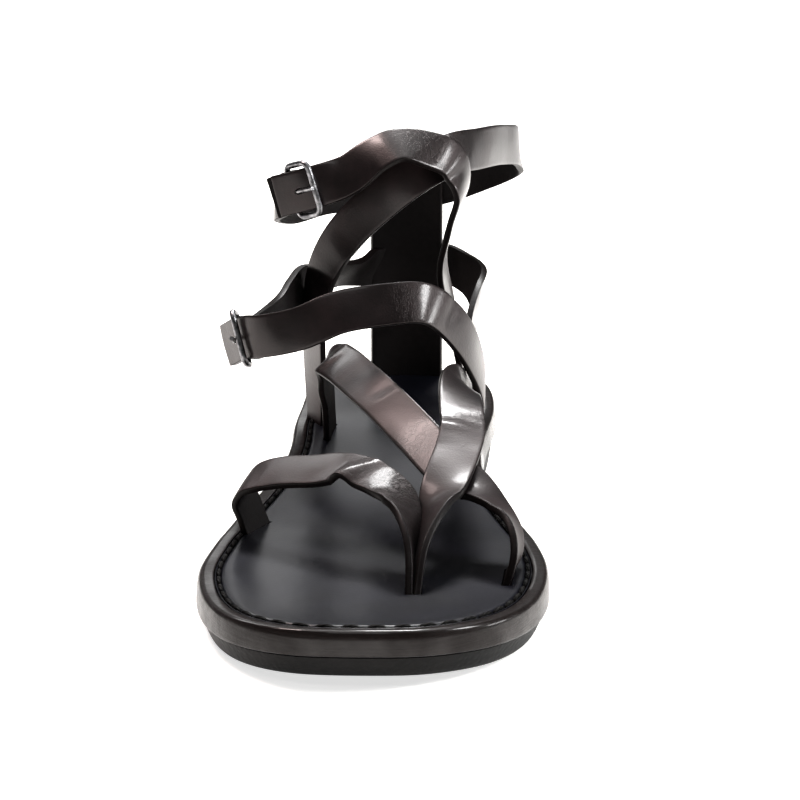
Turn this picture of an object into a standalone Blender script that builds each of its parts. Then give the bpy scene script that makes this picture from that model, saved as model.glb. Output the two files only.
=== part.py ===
"""Strappy buckle sandal, right foot.

Metres, +Z up. The toe points to -Y and the inner side of the foot lies at +X. The origin is on the
floor under the heel. A flat wedge sole carries leather straps that end in slits of the footbed. The
straps cross, pass round a tall heel panel and close with two wire buckles on the outer side.
"""

import bpy
import bmesh
import numpy as np
from mathutils import Matrix, Vector

MM = 0.001

# Driving sizes of the sole
SOLE_LENGTH = 258.0 * MM
BALL_WIDTH = 96.6 * MM
HEEL_WIDTH = 66.6 * MM
OUTSOLE_THICKNESS = 5.2 * MM
MIDSOLE_THICKNESS = 7.3 * MM
INSOLE_THICKNESS = 2.0 * MM
RIM_WIDTH = 4.2 * MM
HEEL_LIFT = 8.0 * MM
HEEL_SEAT_RISE = 3.0 * MM
TOE_SPRING = 4.0 * MM
ARCH_RISE = 3.0 * MM
OUTSOLE_INSET = 0.8 * MM
OUTSOLE_TAPER = 2.4 * MM
MIDSOLE_ROUND = 0.9 * MM

# Places along the sole from the toe, as shares of its length
HEEL_CENTRE = 0.872
SPRING_END = 0.19
WAIST = (0.40, 0.70)
ARCH_FRONT = (0.42, 0.52)
ARCH_BACK = (0.62, 0.70)
LIFT = (0.37, 0.76)
SEAT = (0.78, 0.99)

# Driving sizes of the upper and its buckles
UPPER_HEIGHT = 100.0 * MM
STRAP_WIDTH = 13.0 * MM
STRAP_THICKNESS = 2.0 * MM
STRAP_CORNER = 0.45 * MM
TRIM_DEPTH = 25.0 * MM
PANEL_WIDTH = 24.6 * MM
PANEL_THICKNESS = 2.4 * MM
PANEL_BOW = 2.0 * MM
BUCKLE_WIRE = 1.9 * MM
PRONG_WIRE = 1.3 * MM
PRONG_TIP = 1.6 * MM
BAR_SPACING = 9.0 * MM
BUCKLE_CORNER = 2.6 * MM
STRAP_TAIL = 4.5 * MM
WRAP_RETURN = 6.0 * MM
WRAP_LEAD = 5.0 * MM

# Clearances and bonds
FIT = 0.3 * MM
BOND = 0.3 * MM
BUCKLE_SIDE_GAP = 0.7 * MM

# Fineness
SOLE_STEPS = 3
STRAP_STEPS = 3
WRAP_STEPS = 4
MIDDLE_START = 0.10

# Rings of a sole layer's flat face, as shares of the way from the middle line to the edge
OPEN_FACE = (0.0, 0.5)
HIDDEN_FACE = (0.0,)

# How far each wrapped strap end and each prong's ring turn round the hinge bar, in degrees
INSTEP_WRAP_TURN = 120.0
ANKLE_WRAP_TURN = 140.0
PRONG_RING_TURN = 280
PRONG_RING_STEP = 35
CORNER_STEP = 30

# Strap ends that stand so near the sole's edge that the rim is cut too
RIM_SLITS = ("instep_slit", "ankle_back_slit")

# Outline of the sole: along the sole from the toe as a share of its length, then the outer and the
# inner edge from the heel-to-toe line as shares of the half width there.
SOLE_OUTLINE = (
    (0.000, -0.12, -0.12),
    (0.010, -0.55, 0.19),
    (0.054, -0.86, 0.51),
    (0.128, -1.06, 0.74),
    (0.229, -1.15, 0.85),
    (0.333, -1.10, 0.82),
    (0.453, -0.99, 0.70),
    (0.574, -0.98, 0.68),
    (0.698, -1.06, 0.86),
    (0.822, -1.02, 0.98),
    (0.922, -0.92, 0.92),
    (0.981, -0.57, 0.58),
    (1.000, 0.03, 0.03),
)

# Straps: across in half widths of the sole, along from the toe in sole lengths, up from the footbed
# in upper heights, then where the face looks: turn from the toe towards the inner side, and tilt up.
TOE_STRAP = (
    (-0.83, 0.384, -0.05, -117, 0),
    (-0.91, 0.384, 0.06, -112, 2),
    (-0.94, 0.380, 0.11, -104, 16),
    (-0.88, 0.368, 0.16, -84, 48),
    (-0.72, 0.353, 0.19, -26, 64),
    (-0.53, 0.333, 0.21, -3, 64),
    (-0.34, 0.314, 0.23, 5, 64),
    (-0.16, 0.295, 0.23, 18, 58),
    (-0.03, 0.271, 0.21, 42, 45),
    (0.03, 0.244, 0.17, 66, 26),
    (0.055, 0.205, 0.08, 86, 5),
    (0.055, 0.170, -0.05, 90, 0),
)
POST_STRAP = (
    (0.085, 0.170, -0.05, -90, 0),
    (0.11, 0.202, 0.06, -80, 3),
    (0.18, 0.244, 0.14, -55, 12),
    (0.26, 0.293, 0.205, -16, 26),
    (0.34, 0.345, 0.265, -6, 30),
    (0.36, 0.376, 0.30, -4, 44),
    (0.35, 0.426, 0.335, 5, 64),
    (0.37, 0.496, 0.34, 35, 60),
    (0.49, 0.562, 0.27, 70, 30),
    (0.64, 0.640, 0.13, 88, 4),
    (0.62, 0.668, -0.05, 92, 0),
)
CROSS_STRAP = (
    (0.56, 0.203, -0.05, 95, 0),
    (0.64, 0.221, 0.06, 82, 5),
    (0.62, 0.248, 0.12, 58, 28),
    (0.50, 0.283, 0.16, 28, 38),
    (0.32, 0.318, 0.205, -8, 30),
    (0.11, 0.388, 0.27, -4, 32),
    (-0.09, 0.453, 0.32, -5, 34),
    (-0.27, 0.508, 0.34, -12, 38),
    (-0.43, 0.550, 0.35, -28, 46),
    (-0.56, 0.581, 0.34, -54, 50),
    (-0.64, 0.609, 0.27, -86, 20),
    (-0.66, 0.643, 0.17, -98, 2),
    (-0.69, 0.716, -0.05, -102, 0),
)
INSTEP_STRAP = (
    (0.65, 0.668, -0.05, 92, 0),
    (0.75, 0.643, 0.17, 84, 5),
    (0.62, 0.605, 0.33, 64, 10),
    (0.38, 0.566, 0.48, 38, 22),
    (0.18, 0.539, 0.55, 15, 28),
    (-0.10, 0.523, 0.56, 0, 26),
    (-0.42, 0.519, 0.54, -8, 20),
    (-0.70, 0.519, 0.49, -12, 8),
    (-0.98, 0.527, 0.46, -26, 0),
    (-1.15, 0.547, 0.43, -48, 0),
    (-1.40, 0.585, 0.40, -50, 0),
)
INSTEP_BACK_STRAP = (
    (-1.08, 0.640, 0.43, -108, 0),
    (-1.04, 0.685, 0.45, -107, 0),
    (-0.96, 0.733, 0.46, -108, 0),
    (-0.78, 0.806, 0.43, -112, 0),
    (-0.54, 0.899, 0.40, -122, 0),
    (-0.26, 0.961, 0.38, -155, 0),
    (0.07, 0.975, 0.39, 180, 0),
    (0.42, 0.967, 0.40, 165, 0),
    (0.64, 0.930, 0.39, 140, -5),
    (0.79, 0.876, 0.38, 100, -20),
    (0.78, 0.829, 0.35, 75, -10),
    (0.69, 0.787, 0.28, 88, 0),
    (0.65, 0.760, 0.19, 92, 0),
)
ANKLE_BACK_STRAP = (
    (-0.83, 0.752, -0.05, -68, 0),
    (-0.84, 0.736, 0.18, -62, 0),
    (-0.83, 0.717, 0.39, -58, 0),
    (-0.73, 0.698, 0.54, -45, 6),
    (-0.49, 0.682, 0.67, -22, 10),
    (-0.16, 0.671, 0.78, 0, 18),
    (0.18, 0.663, 0.87, 18, 30),
    (0.47, 0.682, 0.91, 38, 20),
    (0.75, 0.744, 0.90, 52, 6),
    (1.01, 0.829, 0.88, 65, 0),
    (1.19, 0.907, 0.84, 100, 0),
    (1.12, 0.957, 0.79, 160, 0),
    (0.83, 0.973, 0.74, 172, 0),
    (0.42, 0.969, 0.68, 170, 0),
    (0.07, 0.975, 0.65, 180, 0),
    (-0.29, 0.963, 0.65, -160, 0),
    (-0.72, 0.903, 0.67, -128, 0),
    (-1.06, 0.795, 0.70, -112, 0),
    (-1.17, 0.715, 0.75, -98, 0),
)
ANKLE_FRONT_STRAP = (
    (0.60, 0.768, -0.05, 95, 0),
    (0.60, 0.752, 0.18, 90, 0),
    (0.49, 0.725, 0.39, 72, 0),
    (0.41, 0.702, 0.56, 62, 0),
    (0.49, 0.682, 0.70, 62, 0),
    (0.58, 0.667, 0.81, 62, 6),
    (0.47, 0.651, 0.91, 38, 24),
    (0.25, 0.640, 0.95, 16, 40),
    (0.00, 0.632, 0.97, 0, 52),
    (-0.22, 0.628, 0.94, -6, 46),
    (-0.45, 0.628, 0.88, -12, 26),
    (-0.83, 0.636, 0.83, -18, 0),
    (-1.11, 0.647, 0.80, -20, 0),
)
HEEL_PANEL = (
    (0.07, 0.960, -0.05, 180, 0),
    (0.07, 0.967, 0.14, 180, 0),
    (0.07, 0.969, 0.40, 180, 0),
    (0.07, 0.969, 0.66, 180, 0),
    (0.07, 0.962, 0.80, 180, 0),
)


def smoothstep(value, start, end):
    share = min(max((value - start) / (end - start), 0.0), 1.0)
    return share * share * (3.0 - 2.0 * share)


def half_width(along):
    """Half width that shares across the sole are taken of: ball at the front, heel at the back."""
    return 0.5 * (BALL_WIDTH + (HEEL_WIDTH - BALL_WIDTH) * smoothstep(along, *WAIST))


def toe_spring(along):
    return TOE_SPRING * max(0.0, 1.0 - along / SPRING_END) ** 2


def floor_gap(along):
    """Height of the outsole's underside over the floor: toe spring and arch."""
    arch = ARCH_RISE * smoothstep(along, *ARCH_FRONT) * (1.0 - smoothstep(along, *ARCH_BACK))
    return toe_spring(along) + arch


def wedge(along):
    """Height that the outsole adds under the midsole: toe spring, heel lift and heel seat."""
    lift = HEEL_LIFT * smoothstep(along, *LIFT) + HEEL_SEAT_RISE * smoothstep(along, *SEAT)
    return toe_spring(along) + lift


def outsole_top(along):
    return OUTSOLE_THICKNESS + wedge(along)


def midsole_base(along):
    return outsole_top(along) + FIT


def footbed(along):
    """Height of the rim's top, which the insole lies flush with."""
    return midsole_base(along) + MIDSOLE_THICKNESS - FIT


def recess_floor(along):
    return footbed(along) - INSOLE_THICKNESS - FIT


def place(across, along, height):
    return Vector((across * half_width(along), (along - HEEL_CENTRE) * SOLE_LENGTH, height))


def smooth_curve(rows, steps, spacing=0.0):
    """Catmull-Rom curve through rows of numbers, whose first and last rows only steer it.

    Spacing 0 counts each row the same; 0.5 follows the distance between their first three numbers,
    which keeps close rows from swinging out beside distant ones.
    """
    rows = np.asarray(rows, float)
    gaps = np.linalg.norm(np.diff(rows[:, :3], axis=0), axis=1) ** spacing
    points = []
    for i, (a, b, c, d) in enumerate(zip(rows, rows[1:], rows[2:], rows[3:])):
        before, here, after = gaps[i:i + 3]
        leave = here * ((b - a) / before - (c - a) / (before + here) + (c - b) / here)
        arrive = here * ((c - b) / here - (d - b) / (here + after) + (d - c) / after)
        for t in np.arange(steps) / steps:
            points.append(b + leave * t + (3 * (c - b) - 2 * leave - arrive) * t ** 2
                          + (2 * (b - c) + leave + arrive) * t ** 3)
    points.append(rows[-2])
    return np.array(points)


def sole_edges():
    """Rows of along, outer edge and inner edge, smoothed and carried round toe and heel."""
    rows = [tuple(row) for row in SOLE_OUTLINE]
    around_toe = (rows[1][0], rows[1][2], rows[1][1])
    around_heel = (rows[-2][0], rows[-2][2], rows[-2][1])
    return smooth_curve([around_toe] + rows + [around_heel], SOLE_STEPS)


def outline(inset):
    """Closed outline of the sole as (along, point), drawn in by inset, outer side first."""
    edges = sole_edges()
    loop = [(a, place(left, a, 0)) for a, left, right in edges]
    loop += [(a, place(right, a, 0)) for a, left, right in edges[-2:0:-1]]
    count = len(loop)
    points = []
    for i, (along, point) in enumerate(loop):
        run = (loop[(i + 1) % count][1] - loop[i - 1][1]).normalized()
        points.append((along, point + Vector((run.y, -run.x, 0.0)) * inset))
    return points


def middle_line(along):
    """Point of the sole's middle line, which stops short of toe and heel."""
    edges = sole_edges()
    along = min(max(along, MIDDLE_START), 1.0 - MIDDLE_START)
    return place(np.interp(along, edges[:, 0], 0.5 * (edges[:, 1] + edges[:, 2])), along, 0)


def sole_ring(bm, inset, height, spread):
    """One ring of vertices; spread 1 is the outline, 0 the sole's middle line."""
    ring = []
    for along, point in outline(inset):
        flat = middle_line(along).lerp(point, spread)
        here = flat.y / SOLE_LENGTH + HEEL_CENTRE
        ring.append(bm.verts.new((flat.x, flat.y, height(min(max(here, 0.0), 1.0)))))
    return ring


def stack_rings(bm, rings):
    for lower, upper in zip(rings, rings[1:]):
        for i in range(len(lower)):
            j = (i + 1) % len(lower)
            bm.faces.new((lower[i], lower[j], upper[j], upper[i]))


def finish_mesh(name, bm, collection):
    bmesh.ops.remove_doubles(bm, verts=bm.verts, dist=1e-6)
    bmesh.ops.dissolve_degenerate(bm, edges=bm.edges, dist=1e-7)
    bmesh.ops.triangulate(bm, faces=bm.faces)
    bmesh.ops.recalc_face_normals(bm, faces=bm.faces)
    mesh = bpy.data.meshes.new(name)
    bm.to_mesh(mesh)
    bm.free()
    mesh.shade_smooth()
    mesh.set_sharp_from_angle(angle=0.6)
    made = bpy.data.objects.new(name, mesh)
    collection.objects.link(made)
    return made


def sole_layer(name, side, collection, below=HIDDEN_FACE, above=HIDDEN_FACE):
    """Solid from its side rows of (inset, height function), bottom first, closed to the middle."""
    bm = bmesh.new()
    rings = [sole_ring(bm, *side[0], spread) for spread in below]
    rings += [sole_ring(bm, inset, height, 1.0) for inset, height in side]
    rings += [sole_ring(bm, *side[-1], spread) for spread in reversed(above)]
    stack_rings(bm, rings)
    return finish_mesh(name, bm, collection)


def facing(turn, tilt):
    """Where a face looks: turn 0 to the toe, 90 to the inner side; tilt upwards, in degrees."""
    turn, tilt = np.radians(turn), np.radians(tilt)
    return Vector((np.sin(turn) * np.cos(tilt), -np.cos(turn) * np.cos(tilt), np.sin(tilt)))


def strap_rows(table):
    """Points and face directions of a strap's table, in metres."""
    return [(place(across, along, footbed(along) + up * UPPER_HEIGHT), facing(turn, tilt))
            for across, along, up, turn, tilt in table]


def strap_path(rows):
    """Smooth stations (centre, width direction, face direction) along a strap."""
    values = [tuple(point) + tuple(face) for point, face in rows]
    first = 2 * np.array(values[0]) - np.array(values[1])
    last = 2 * np.array(values[-1]) - np.array(values[-2])
    curve = smooth_curve([first] + values + [last], STRAP_STEPS, 0.5)
    centres = [Vector(row[:3]) for row in curve]
    stations = []
    for i, row in enumerate(curve):
        run = (centres[min(i + 1, len(curve) - 1)] - centres[max(i - 1, 0)]).normalized()
        face = Vector(row[3:])
        face = (face - run * face.dot(run)).normalized()
        stations.append((centres[i], run.cross(face), face))
    return stations


def strap_section(width, thickness, bow=0.0):
    """Section of a strap as (across, out), with cut corners; bow hollows its inner side."""
    corner = min(STRAP_CORNER, 0.45 * thickness)
    half, deep = width / 2, thickness / 2
    top = [(-half, deep - corner), (-half + corner, deep), (half - corner, deep), (half, deep - corner)]
    if bow:
        inner = [share * half for share in (-0.66, -0.33, 0.0, 0.33, 0.66)]
        top[2:2] = [(across, deep) for across in inner]
    section = top + [(across, -out) for across, out in reversed(top)]
    return [(across, out - bow * (across / half) ** 2) for across, out in section]


def sweep(name, stations, section, collection):
    """Solid that carries the section along the stations and closes both ends."""
    bm = bmesh.new()
    rings = [[bm.verts.new(centre + wide * across + face * out) for across, out in section]
             for centre, wide, face in stations]
    stack_rings(bm, rings)
    half = len(section) // 2
    for ring in (rings[0], rings[-1]):
        for i in range(half - 1):
            bm.faces.new((ring[i], ring[i + 1], ring[len(ring) - 2 - i], ring[len(ring) - 1 - i]))
    return finish_mesh(name, bm, collection)


def over_footbed(point):
    return point.z - footbed(point.y / SOLE_LENGTH + HEEL_CENTRE)


def slit(name, stations, width, thickness, bow, collection):
    """Cutter for the slit that the first stations of a strap stand in."""
    low = width / 2 + thickness
    free = next(i for i, (centre, wide, face) in enumerate(stations)
                if over_footbed(centre) > low * abs(wide.z) + FIT)
    section = strap_section(width + 2 * FIT, thickness + 2 * FIT, bow)
    return sweep(name, stations[:free + 1], section, collection)


def station_from_end(stations, distance):
    """Centre, run towards the end, width direction and face at a distance before a strap's end."""
    left = distance
    for after, before in zip(reversed(stations), reversed(stations[:-1])):
        step = (after[0] - before[0]).length
        if left <= step:
            centre = after[0].lerp(before[0], left / step)
            run = (after[0] - before[0]).normalized()
            face = (after[2] - run * after[2].dot(run)).normalized()
            return centre, run, run.cross(face), face
        left -= step
    raise ValueError("the strap is shorter than its tail")


class Buckle:
    """Wire buckle on a strap's end: its own axes, bars, hinge wrap and the cutters it needs."""

    def __init__(self, stations):
        seat = station_from_end(stations, STRAP_TAIL + BAR_SPACING / 2)
        self.centre, self.run, self.wide, self.face = seat
        bar = BUCKLE_WIRE / 2
        self.tip_height = STRAP_THICKNESS / 2 + FIT + bar
        self.hinge_depth = 1.5 * STRAP_THICKNESS - BOND + FIT + bar
        self.wrap_radius = bar + FIT + STRAP_THICKNESS / 2

    def at(self, run, wide, out):
        return self.centre + self.run * run + self.wide * wide + self.face * out

    def hinge(self):
        return self.at(BAR_SPACING / 2, 0, -self.hinge_depth)

    def wrap_rows(self, leaving):
        """Rows of a strap's end round the hinge bar, from its free end to where it leaves."""
        hinge = self.hinge()
        start = hinge + self.face * self.wrap_radius
        rows = [(start + self.run * WRAP_RETURN * share, -self.face) for share in (1.0, 0.5)]
        for step in range(WRAP_STEPS + 1):
            angle = np.radians(leaving) * step / WRAP_STEPS
            out = self.face * np.cos(angle) - self.run * np.sin(angle)
            rows.append((hinge + out * self.wrap_radius, -out))
        onward = self.wide.cross(out)
        rows.append((rows[-1][0] + onward * WRAP_LEAD, -out))
        return rows

    def frame_points(self):
        """Centre line of the wire frame, with rounded corners."""
        half = STRAP_WIDTH / 2 + BUCKLE_SIDE_GAP + BUCKLE_WIRE / 2
        tip = self.at(-BAR_SPACING / 2, 0, self.tip_height)
        hinge = self.hinge()
        middle = (tip + hinge) / 2
        along = (hinge - tip).normalized()
        reach = (hinge - tip).length / 2
        points = []
        for quarter, (side, end) in enumerate(((1, 1), (-1, 1), (-1, -1), (1, -1))):
            for turn in range(0, 91, CORNER_STEP):
                angle = np.radians(90 * quarter + turn)
                wide = side * (half - BUCKLE_CORNER) + BUCKLE_CORNER * np.cos(angle)
                run = end * (reach - BUCKLE_CORNER) + BUCKLE_CORNER * np.sin(angle)
                points.append(middle + self.wide * wide + along * run)
        return points

    def prong_ends(self):
        """Ring radius, hinge, and the straight run that touches neither bar, as (run, out)."""
        ring = BUCKLE_WIRE / 2 + FIT + PRONG_WIRE / 2
        hinge = Vector((BAR_SPACING / 2, -self.hinge_depth))
        bar = Vector((-BAR_SPACING / 2, self.tip_height))
        along = (bar - hinge).normalized()
        over = Vector((along.y, -along.x))
        start = hinge + over * ring
        tip = bar + over * ring + along * PRONG_TIP
        return ring, hinge, start, tip

    def prong_points(self):
        ring, hinge, start, tip = self.prong_ends()
        leave = np.arctan2(start.y - hinge.y, start.x - hinge.x)
        turns = [leave - np.radians(angle) for angle in range(PRONG_RING_TURN, 0, -PRONG_RING_STEP)]
        flat = [hinge + Vector((np.cos(turn), np.sin(turn))) * ring for turn in turns]
        flat += [start, start.lerp(tip, 0.5), tip]
        return [self.at(point.x, 0, point.y) for point in flat]

    def prong_cutter(self, name, collection):
        """Hole that the prong passes through in the strap, as a rod round its straight run."""
        ring, hinge, start, tip = self.prong_ends()
        ends = (self.at(start.x, 0, start.y), self.at(tip.x, 0, tip.y))
        return rod(name, ends, PRONG_WIRE / 2 + FIT, collection)

    def wrap_cutter(self, name, collection):
        """Slot in the wrapped end that leaves room for the prong's ring."""
        half = PRONG_WIRE / 2 + FIT
        ends = (self.hinge() - self.wide * half, self.hinge() + self.wide * half)
        return rod(name, ends, self.wrap_radius + STRAP_THICKNESS / 2 + 0.5 * FIT, collection)


def rod(name, ends, radius, collection):
    """Plain cylinder between two points."""
    axis = ends[1] - ends[0]
    bm = bmesh.new()
    turn = axis.to_track_quat("Z", "Y").to_matrix().to_4x4()
    where = Matrix.Translation((ends[0] + ends[1]) / 2) @ turn
    bmesh.ops.create_cone(bm, cap_ends=True, segments=16, radius1=radius, radius2=radius,
                          depth=axis.length, matrix=where)
    return finish_mesh(name, bm, collection)


def wire(name, points, thickness, closed, collection):
    """Round wire along points."""
    curve = bpy.data.curves.new(name, "CURVE")
    curve.dimensions = "3D"
    curve.bevel_depth = thickness / 2
    curve.bevel_resolution = 2
    curve.use_fill_caps = not closed
    spline = curve.splines.new("POLY")
    spline.points.add(len(points) - 1)
    for spot, point in zip(spline.points, points):
        spot.co = (*point, 1.0)
    spline.use_cyclic_u = closed
    spline.use_smooth = True
    made = bpy.data.objects.new(name, curve)
    collection.objects.link(made)
    return made


def boolean(target, operation, tool):
    step = target.modifiers.new(f"{operation.lower()}_{tool.name}", "BOOLEAN")
    step.operation = operation
    step.object = tool
    step.solver = "EXACT"


def as_guide(guide):
    guide.hide_render = True
    guide.display_type = "WIRE"


def material(name, colour, roughness, metallic=0.0):
    made = bpy.data.materials.new(name)
    made.use_nodes = True
    shader = made.node_tree.nodes["Principled BSDF"]
    shader.inputs["Base Color"].default_value = (*colour, 1.0)
    shader.inputs["Roughness"].default_value = roughness
    shader.inputs["Metallic"].default_value = metallic
    made.diffuse_color = (*colour, 1.0)
    return made


def new_collection(name):
    made = bpy.data.collections.new(name)
    bpy.context.scene.collection.children.link(made)
    return made


def build_outsole(collection):
    """Rubber wedge, drawn in a little under the midsole and tapered to the floor."""
    foot = OUTSOLE_INSET + OUTSOLE_TAPER
    side = (
        (foot, floor_gap),
        (OUTSOLE_INSET + 0.4 * OUTSOLE_TAPER, lambda a: 0.6 * floor_gap(a) + 0.4 * outsole_top(a)),
        (OUTSOLE_INSET, outsole_top),
    )
    return sole_layer("outsole", side, collection, below=OPEN_FACE)


def build_midsole(collection):
    """Leather board with rounded edges, sunk inside its rim for the insole."""
    side = (
        (0.6 * MIDSOLE_ROUND, midsole_base),
        (0.0, lambda a: midsole_base(a) + MIDSOLE_ROUND),
        (0.0, lambda a: footbed(a) - MIDSOLE_ROUND),
        (MIDSOLE_ROUND, footbed),
        (RIM_WIDTH - FIT, footbed),
        (RIM_WIDTH - FIT, recess_floor),
    )
    return sole_layer("midsole", side, collection)


def build_insole(collection):
    side = (
        (RIM_WIDTH, lambda a: footbed(a) - INSOLE_THICKNESS),
        (RIM_WIDTH, lambda a: footbed(a) - 0.25 * INSOLE_THICKNESS),
        (RIM_WIDTH + 0.25 * INSOLE_THICKNESS, footbed),
    )
    return sole_layer("insole", side, collection, above=OPEN_FACE)


def strap_paths():
    """Stations of every strap by name, and the two buckles with their labels."""
    tables = {
        "toe_strap": TOE_STRAP,
        "post_strap": POST_STRAP,
        "cross_strap": CROSS_STRAP,
        "instep_strap": INSTEP_STRAP,
        "ankle_front_strap": ANKLE_FRONT_STRAP,
    }
    paths = {name: strap_path(strap_rows(table)) for name, table in tables.items()}
    buckles = {"instep": Buckle(paths["instep_strap"]), "ankle": Buckle(paths["ankle_front_strap"])}
    wrapped = {
        "instep_back_strap": (buckles["instep"].wrap_rows(INSTEP_WRAP_TURN), INSTEP_BACK_STRAP),
        "ankle_back_strap": (buckles["ankle"].wrap_rows(ANKLE_WRAP_TURN), ANKLE_BACK_STRAP[::-1]),
    }
    for name, (wrap, table) in wrapped.items():
        paths[name] = strap_path(wrap + strap_rows(table))
    return paths, buckles


def build_upper(paths, panel, buckles, collection, guides):
    """Heel panel and straps joined where they cross, cut off over the midsole."""
    section = strap_section(PANEL_WIDTH, PANEL_THICKNESS, PANEL_BOW)
    upper = sweep("upper", panel, section, collection)
    for name, stations in paths.items():
        strap = sweep(name, stations, strap_section(STRAP_WIDTH, STRAP_THICKNESS), guides)
        as_guide(strap)
        boolean(upper, "UNION", strap)
    below = (
        (-RIM_WIDTH, lambda a: recess_floor(a) - TRIM_DEPTH),
        (-RIM_WIDTH, lambda a: recess_floor(a) + FIT),
    )
    cutters = [sole_layer("below_footbed", below, guides)]
    for label, buckle in buckles.items():
        cutters.append(buckle.prong_cutter(f"{label}_prong_hole", guides))
        cutters.append(buckle.wrap_cutter(f"{label}_wrap_slot", guides))
    for cutter in cutters:
        as_guide(cutter)
        boolean(upper, "DIFFERENCE", cutter)
    return upper


def cut_slits(insole, midsole, paths, panel, guides):
    """Slits for the strap ends; the rim gives way too where a strap stands at the sole's edge."""
    ends = {
        "toe_slit": paths["toe_strap"],
        "post_slit": paths["toe_strap"][::-1],
        "post_strap_slit": paths["post_strap"],
        "post_strap_back_slit": paths["post_strap"][::-1],
        "cross_slit": paths["cross_strap"],
        "cross_back_slit": paths["cross_strap"][::-1],
        "instep_slit": paths["instep_strap"],
        "ankle_front_slit": paths["ankle_front_strap"],
        "ankle_back_slit": paths["ankle_back_strap"][::-1],
    }
    for name, stations in ends.items():
        cutter = slit(name, stations, STRAP_WIDTH, STRAP_THICKNESS, 0.0, guides)
        as_guide(cutter)
        boolean(insole, "DIFFERENCE", cutter)
        if name in RIM_SLITS:
            boolean(midsole, "DIFFERENCE", cutter)
    cutter = slit("panel_slit", panel, PANEL_WIDTH, PANEL_THICKNESS, PANEL_BOW, guides)
    as_guide(cutter)
    boolean(insole, "DIFFERENCE", cutter)


def build():
    for old in list(bpy.data.objects):
        bpy.data.objects.remove(old)
    sandal = new_collection("strappy_buckle_sandal")
    guides = new_collection("cutters")
    paths, buckles = strap_paths()
    panel = strap_path(strap_rows(HEEL_PANEL))
    outsole = build_outsole(sandal)
    midsole = build_midsole(sandal)
    insole = build_insole(sandal)
    upper = build_upper(paths, panel, buckles, sandal, guides)
    cut_slits(insole, midsole, paths, panel, guides)
    rubber = material("black_rubber", (0.012, 0.011, 0.011), 0.5)
    board = material("dark_brown_board", (0.030, 0.022, 0.020), 0.35)
    footbed_leather = material("blue_black_leather", (0.016, 0.018, 0.024), 0.4)
    strap_leather = material("brown_black_leather", (0.026, 0.019, 0.018), 0.32)
    metal = material("dark_antique_metal", (0.22, 0.22, 0.22), 0.35, 1.0)
    outsole.data.materials.append(rubber)
    midsole.data.materials.append(board)
    insole.data.materials.append(footbed_leather)
    upper.data.materials.append(strap_leather)
    for label, buckle in buckles.items():
        frame = wire(f"{label}_buckle_frame", buckle.frame_points(), BUCKLE_WIRE, True, sandal)
        prong = wire(f"{label}_buckle_prong", buckle.prong_points(), PRONG_WIRE, False, sandal)
        frame.data.materials.append(metal)
        prong.data.materials.append(metal)


build()
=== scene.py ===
"""Strappy buckle sandal, right foot: its finished leather, rubber, thread and metal.

Metres, +Z up, toe towards -Y, inner side of the foot at +X, floor at zero. Each visible piece is
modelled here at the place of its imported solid: three sole layers, a row of stitches, seven straps, a
heel panel and two wire buckles.
"""

import math

import bmesh
import bpy
import numpy as np
from mathutils import Euler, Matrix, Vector, noise


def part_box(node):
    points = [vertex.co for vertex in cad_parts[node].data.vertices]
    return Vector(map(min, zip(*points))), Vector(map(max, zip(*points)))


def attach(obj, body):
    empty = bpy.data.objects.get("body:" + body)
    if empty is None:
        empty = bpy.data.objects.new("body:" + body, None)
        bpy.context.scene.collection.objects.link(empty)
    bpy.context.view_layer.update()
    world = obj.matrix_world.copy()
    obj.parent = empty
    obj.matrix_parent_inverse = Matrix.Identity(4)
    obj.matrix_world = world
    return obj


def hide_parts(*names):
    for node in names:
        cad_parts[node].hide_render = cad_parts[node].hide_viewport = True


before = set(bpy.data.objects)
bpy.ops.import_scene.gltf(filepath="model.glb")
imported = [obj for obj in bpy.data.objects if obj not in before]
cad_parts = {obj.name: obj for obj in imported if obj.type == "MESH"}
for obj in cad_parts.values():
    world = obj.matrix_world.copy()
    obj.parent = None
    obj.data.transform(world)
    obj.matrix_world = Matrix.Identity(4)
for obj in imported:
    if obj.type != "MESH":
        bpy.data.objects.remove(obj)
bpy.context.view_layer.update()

MM = 0.001
BODY = "root"

# Driving sizes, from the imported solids
sole_low, sole_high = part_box("midsole")
SOLE_LENGTH = (sole_high - sole_low).y
BALL_WIDTH = (sole_high - sole_low).x
HEEL_WIDTH = 66.6 * MM
UPPER_HEIGHT = 100.0 * MM

# Sole: heights, and shares of its length where they begin and end
OUTSOLE_THICKNESS = 5.2 * MM
MIDSOLE_THICKNESS = 7.3 * MM
FIT = 0.3 * MM
HEEL_LIFT = 8.0 * MM
HEEL_SEAT_RISE = 3.0 * MM
TOE_SPRING = 4.0 * MM
ARCH_RISE = 3.0 * MM
HEEL_CENTRE = 0.872
SPRING_END = 0.19
WAIST = (0.40, 0.70)
ARCH_FRONT = (0.42, 0.52)
ARCH_BACK = (0.62, 0.70)
LIFT = (0.37, 0.76)
SEAT = (0.78, 0.99)
MIDDLE_START = 0.10
SOLE_STEPS = 12
INSOLE_RINGS = 15
INSOLE_INNER_SPREAD = 0.94

# Worn footbed: along, half length, across and half width of each hollow, then its depth
HEEL_HOLLOW = (0.87, 0.09, 0.0, 0.55, 0.45 * MM)
BALL_HOLLOW = (0.27, 0.08, -0.15, 0.7, 0.35 * MM)
FOOTBED_RIPPLE = 0.12 * MM

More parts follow.
